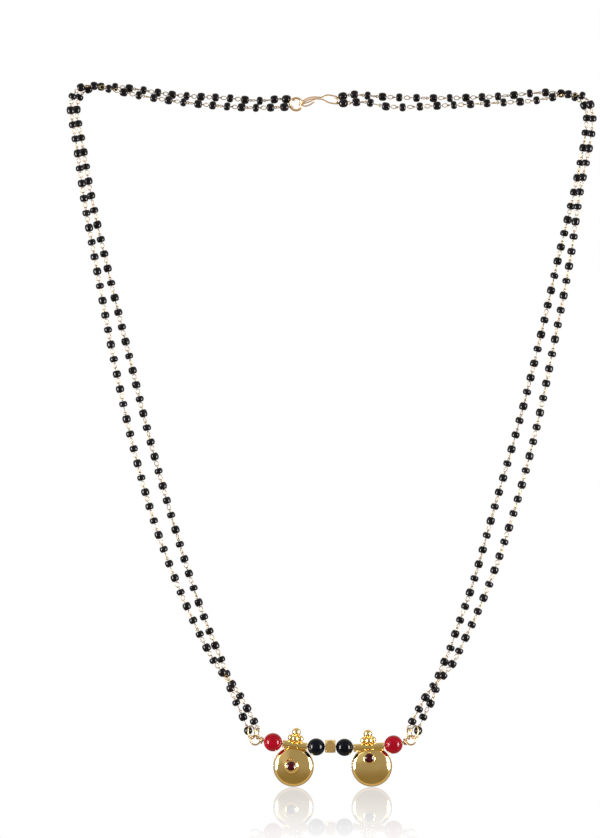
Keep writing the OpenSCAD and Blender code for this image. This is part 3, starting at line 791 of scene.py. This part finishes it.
center_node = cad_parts["center_bead"]
center_node.data.materials.clear()
center_node.data.materials.append(bead_gold)
soft_edges = center_node.modifiers.new("soft_edges", "BEVEL")
soft_edges.width = CENTER_BEVEL * MM
soft_edges.segments = 3
soft_edges.limit_method = "ANGLE"
soft_edges.harden_normals = True


# ---------------------------------------------------------------- cups

def smooth_step(low, high, value):
    t = min(max((value - low) / (high - low), 0), 1)
    return t * t * (3 - 2 * t)


def cup_frame(side):
    """Matrix of a hanging cup: the middle of its tube, with X along the tube."""
    start, end = TUBE_ENDS[side]
    slope = -math.atan2(end.z - start.z, end.x - start.x)
    return (Matrix.Translation((start + end) / 2) @ Matrix.Rotation(slope, 4, "Y")
            @ Matrix.Rotation(CUP_LEAN, 4, "X"))


def crown_frame(side):
    """On the crown of the cup at the stone's place, with Z facing out."""
    cup = CUPS[side]
    x, z = cup["stone"]
    middle = Matrix.Translation((cup["x"], CUP_SET_BACK + CUP_ARC_DROP, -cup["drop"]))
    return (cup_frame(side) @ middle @ Matrix.Rotation(math.asin(x / CUP_CROWN_R), 4, "Z")
            @ Matrix.Rotation(-math.asin(z / CUP_CROWN_R), 4, "X")
            @ Matrix.Translation((0, -CUP_CROWN_R, 0)) @ Matrix.Rotation(math.pi / 2, 4, "X"))


def dome_profile():
    """Outline of the cup's wall, from the crown's pole over the turned edge and back inside."""
    join = math.atan2(EDGE_MIDDLE_R, CUP_ARC_DROP)

    def crown(r, i):
        a = join * i / 26
        return r * math.sin(a), r * math.cos(a) - CUP_ARC_DROP

    def edge(r, i):
        a = join + (math.pi / 2 - join) * i / 16
        return EDGE_MIDDLE_R + r * math.sin(a), r * math.cos(a)

    outline = [crown(CUP_CROWN_R, i) for i in range(27)]
    outline += [edge(CUP_EDGE_R, i) for i in range(1, 17)]
    outline += [(CUP_R, 0.02), (CUP_R - 0.05, 0.0), (CUP_R - CUP_WALL + 0.05, 0.0),
                (CUP_R - CUP_WALL, 0.05)]
    outline += [edge(CUP_EDGE_R - CUP_WALL, i) for i in range(16, -1, -2)]
    outline += [crown(CUP_CROWN_R - CUP_WALL, i) for i in range(24, -1, -3)]
    return outline


def tube_profile(length):
    """Closed outline of a tube with a wider mouth at each end of its bore."""
    half = length / 2
    mouth, deep, soft = 0.85, 0.6, 0.07
    # (radius, distance in from the tube's end), from the bore out to the wall
    end = [(TUBE_BORE_R, deep), (mouth, deep), (mouth, soft), (mouth + soft, 0),
           (TUBE_R - soft, 0), (TUBE_R, soft)]
    return ([(r, inset - half) for r, inset in end]
            + [(TUBE_R, -half + soft + (length - 2 * soft) * i / 12) for i in range(1, 12)]
            + [(r, half - inset) for r, inset in reversed(end)])


def ball_places(turn):
    """(x, y, z, radius) of the five balls on a tube: four round a square and one on top."""
    low = TUBE_R + BALL_R - SOLDER_BITE
    out = 2 * BALL_R * BALL_SPREAD
    high = low + math.sqrt((BALL_R + TOP_BALL_R - SOLDER_BITE / 2) ** 2 - out ** 2)
    corners = [math.radians(turn + 90 * k) for k in range(4)]
    return ([(out * math.cos(a), out * math.sin(a), low, BALL_R) for a in corners]
            + [(0, 0, high, TOP_BALL_R)])


def bezel_profile(foot):
    """Closed outline of a stone's setting: its inner wall, its lip over the stone, its foot."""
    wall_in = STONE_R + STONE_GAP
    wall_out = wall_in + BEZEL_WALL
    lip = STONE_R - 0.1
    return [(wall_in, -0.2), (wall_in, BEZEL_H - 0.2),
            (lip, BEZEL_H - 0.04), (lip + 0.05, BEZEL_H),
            (wall_out - 0.16, BEZEL_H + 0.02), (wall_out - 0.03, BEZEL_H - 0.08),
            (wall_out, BEZEL_H - 0.25)] + [(wall_out + out, h) for out, h in foot]


def make_cup(side):
    cup = CUPS[side]
    hang = cup_frame(side)
    sx, sz = cup["stone"]

    def hammered(p):
        """Raises the boss round the stone and adds the dents. p.x is right, p.y is up."""
        if p.z < HAMMERED_FROM:
            return p
        from_stone = math.hypot(p.x - sx, p.y - sz)
        lift = cup["boss"] * (1 - smooth_step(BOSS_TOP_R, BOSS_FOOT_R, from_stone))
        for dx, dz, width, depth in cup["dents"]:
            lift += depth * math.exp(-((p.x - dx) ** 2 + (p.y - dz) ** 2) / (2 * width ** 2))
        return Vector((p.x, p.y, p.z + lift))

    shell = Shape()
    facing = (hang @ Matrix.Translation((cup["x"], CUP_SET_BACK, -cup["drop"]))
              @ Matrix.Rotation(math.pi / 2, 4, "X"))
    lathe(shell, dome_profile(), 128, facing, warp=hammered)
    lathe(shell, tube_profile(cup["tube"])[::-1], 48, hang @ Matrix.Rotation(math.pi / 2, 4, "Y"),
          closed=True)
    for x, y, z, r in ball_places(cup["turn"]):
        lathe(shell, ball_profile(r), 36, placed(hang @ Vector((x, y, z)), (0.3, -0.5, 1)))
    lathe(shell, bezel_profile(cup["foot"])[::-1], 64, crown_frame(side), closed=True)
    shell.piece(f"{side}_cup_gold", cup_gold, f"{side}_pendant", [f"{side}_cup"])


for side in SIDES:
    make_cup(side)
    stone_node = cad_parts[f"{side}_stone"]
    stone_node.data.materials.clear()
    stone_node.data.materials.append(dark_stone)


# ---------------------------------------------------------------- floor and backdrop

FLOOR_Z = -0.20723
FLOOR_HALF = 4
BACKDROP_R = 6
# The floor's share of mirror in front and at the necklace, and the Y between which it changes
MIRROR_FRONT, MIRROR_BACK = 0.02, 0.36
FADE_FRONT_Y, FADE_BACK_Y = -0.19, -0.02

floor_mesh = bpy.data.meshes.new("floor")
corners = [(x * FLOOR_HALF, y * FLOOR_HALF, 0) for x, y in ((-1, -1), (1, -1), (1, 1), (-1, 1))]
floor_mesh.from_pydata(corners, [], [(0, 1, 2, 3)])
floor = put("floor", floor_mesh)
floor.location.z = FLOOR_Z
surface = Nodes("glossy_white_floor")
shine = surface.node("ShaderNodeBsdfGlossy", Roughness=0.02)
shine.inputs["Color"].default_value = (1, 1, 1, 1)
floor_place = surface.node("ShaderNodeSeparateXYZ")
surface.join(surface.place(), floor_place.inputs["Vector"])
blend = surface.node("ShaderNodeMixShader")
surface.join(eased(surface.tree, floor_place.outputs["Y"], FADE_FRONT_Y, FADE_BACK_Y,
                   MIRROR_FRONT, MIRROR_BACK), blend.inputs["Fac"])
surface.join(surface.white_light(), blend.inputs[1])
surface.join(shine.outputs["BSDF"], blend.inputs[2])
surface.show_only(blend.outputs["Shader"])
floor.data.materials.append(surface.material)
floor.visible_glossy = False

# The backdrop is white to the camera alone. Gold and glass reflect the studio behind it.
dome = Shape()
lathe(dome, ball_profile(BACKDROP_R / MM)[::-1], 48, Matrix.Identity(4))
backdrop = put("backdrop", dome.mesh("backdrop"))
paper = Nodes("white_paper")
paper.show_only(paper.white_light())
backdrop.data.materials.append(paper.material)
backdrop.visible_glossy = False
backdrop.visible_diffuse = False
backdrop.visible_transmission = False
backdrop.visible_shadow = False


# ---------------------------------------------------------------- the studio that is reflected

world = bpy.data.worlds.new("studio")
bpy.context.scene.world = world
world.use_nodes = True
sky = world.node_tree


def between(source, low, high):
    return eased(sky, source, low, high)


def mixed(fac, a, b):
    """Colour from a to b. Each is a colour or the output of a node."""
    n = add_node(sky, "ShaderNodeMix", data_type="RGBA")
    sky.links.new(fac, n.inputs["Factor"])
    for value, socket in ((a, n.inputs[6]), (b, n.inputs[7])):
        if isinstance(value, tuple):
            socket.default_value = (*value, 1)
        else:
            sky.links.new(value, socket)
    return n.outputs[2]


def product(a, b):
    n = add_node(sky, "ShaderNodeMath", operation="MULTIPLY")
    sky.links.new(a, n.inputs[0])
    sky.links.new(b, n.inputs[1])
    return n.outputs[0]


direction = add_node(sky, "ShaderNodeTexCoord").outputs["Generated"]
parts = add_node(sky, "ShaderNodeSeparateXYZ")
sky.links.new(direction, parts.inputs["Vector"])
sideways, away, height = parts.outputs["X"], parts.outputs["Y"], parts.outputs["Z"]
# Behind the camera is a dim olive room, lighter at the upper left
room = mixed(between(height, -0.05, -0.7), (0.40, 0.35, 0.24), (0.28, 0.22, 0.10))
upper_left = product(between(sideways, -0.1, -0.5), between(height, -0.05, 0.3))
room = mixed(upper_left, room, (0.60, 0.56, 0.42))
# Round it the studio is pale, brighter a little above the pendants' level and brown below
walls = mixed(between(height, -0.75, -0.35), (0.64, 0.49, 0.27), (0.66, 0.55, 0.38))
walls = mixed(between(height, -0.35, 0.0), walls, (0.75, 0.72, 0.66))
walls = mixed(between(height, 0.0, 0.25), walls, (1.1, 1.08, 1.0))
walls = mixed(between(height, 0.3, 0.9), walls, (0.5, 0.47, 0.38))
behind = mixed(between(height, 0.25, 0.6), (0.3, 0.29, 0.26), (0.95, 0.85, 0.62))
walls = mixed(between(away, 0.2, 0.5), walls, behind)
walls = mixed(between(away, 0.93, 0.97), walls, (1.0, 1.0, 1.0))
# Two tall white panels stand at the sides, above the level of the pendants
panels = product(product(between(height, 0.02, 0.12), between(height, 0.72, 0.6)),
                 product(between(away, -0.72, -0.6), between(away, -0.3, -0.4)))
walls = mixed(panels, walls, (2.0, 1.97, 1.85))
# The room takes up more of the side of the camera below the pendants' level than above it
in_room = add_node(sky, "ShaderNodeMix", data_type="FLOAT")
sky.links.new(between(height, -0.1, -0.4), in_room.inputs[0])
sky.links.new(between(away, -0.54, -0.64), in_room.inputs[2])
sky.links.new(between(away, -0.36, -0.44), in_room.inputs[3])
background = sky.nodes["Background"]
sky.links.new(mixed(in_room.outputs[0], walls, room), background.inputs["Color"])
background.inputs["Strength"].default_value = 1.0

# The softboxes. Angle from the camera's side in degrees, distance, rise per distance and size
PENDANTS_AT = Vector((0, 0, -0.19))
SOFTBOX_AZIMUTH = 63
SOFTBOX_AWAY = 0.6
SOFTBOX_RISE = 0.04
SOFTBOX_WIDTH, SOFTBOX_HEIGHT = 0.21, 0.42
SOFTBOX_WATTS = 7.7


def softbox(name, azimuth):
    """Tall light that faces the pendants, at an azimuth in degrees from the camera's side."""
    data = bpy.data.lights.new(name, "AREA")
    data.shape = "ELLIPSE"
    data.size, data.size_y = SOFTBOX_WIDTH, SOFTBOX_HEIGHT
    data.energy = SOFTBOX_WATTS
    light = put(name, data)
    a = math.radians(azimuth)
    light.location = PENDANTS_AT + SOFTBOX_AWAY * Vector((math.sin(a), -math.cos(a), SOFTBOX_RISE))
    light.rotation_euler = (PENDANTS_AT - light.location).to_track_quat("-Z", "Y").to_euler()


softbox("left_softbox", -SOFTBOX_AZIMUTH)
softbox("right_softbox", SOFTBOX_AZIMUTH)


# ---------------------------------------------------------------- camera

PHOTO_W, PHOTO_H = 600, 838
MM_PER_PIXEL = 0.302
ORIGIN_PIXEL = (331, 101)
CAMERA_AWAY = 1.2
SENSOR = 36.0

camera_data = bpy.data.cameras.new("camera")
camera_data.sensor_fit = "VERTICAL"
camera_data.sensor_height = SENSOR
camera_data.lens = SENSOR * CAMERA_AWAY / (PHOTO_H * MM_PER_PIXEL * MM)
camera_data.clip_end = 20
camera = put("camera", camera_data)
camera.location = ((PHOTO_W / 2 - ORIGIN_PIXEL[0]) * MM_PER_PIXEL * MM, -CAMERA_AWAY,
                   (ORIGIN_PIXEL[1] - PHOTO_H / 2) * MM_PER_PIXEL * MM)
camera.rotation_euler = (math.pi / 2, 0, 0)
bpy.context.scene.camera = camera
bpy.context.scene.view_settings.view_transform = "Standard"
bpy.context.scene.view_settings.look = "None"
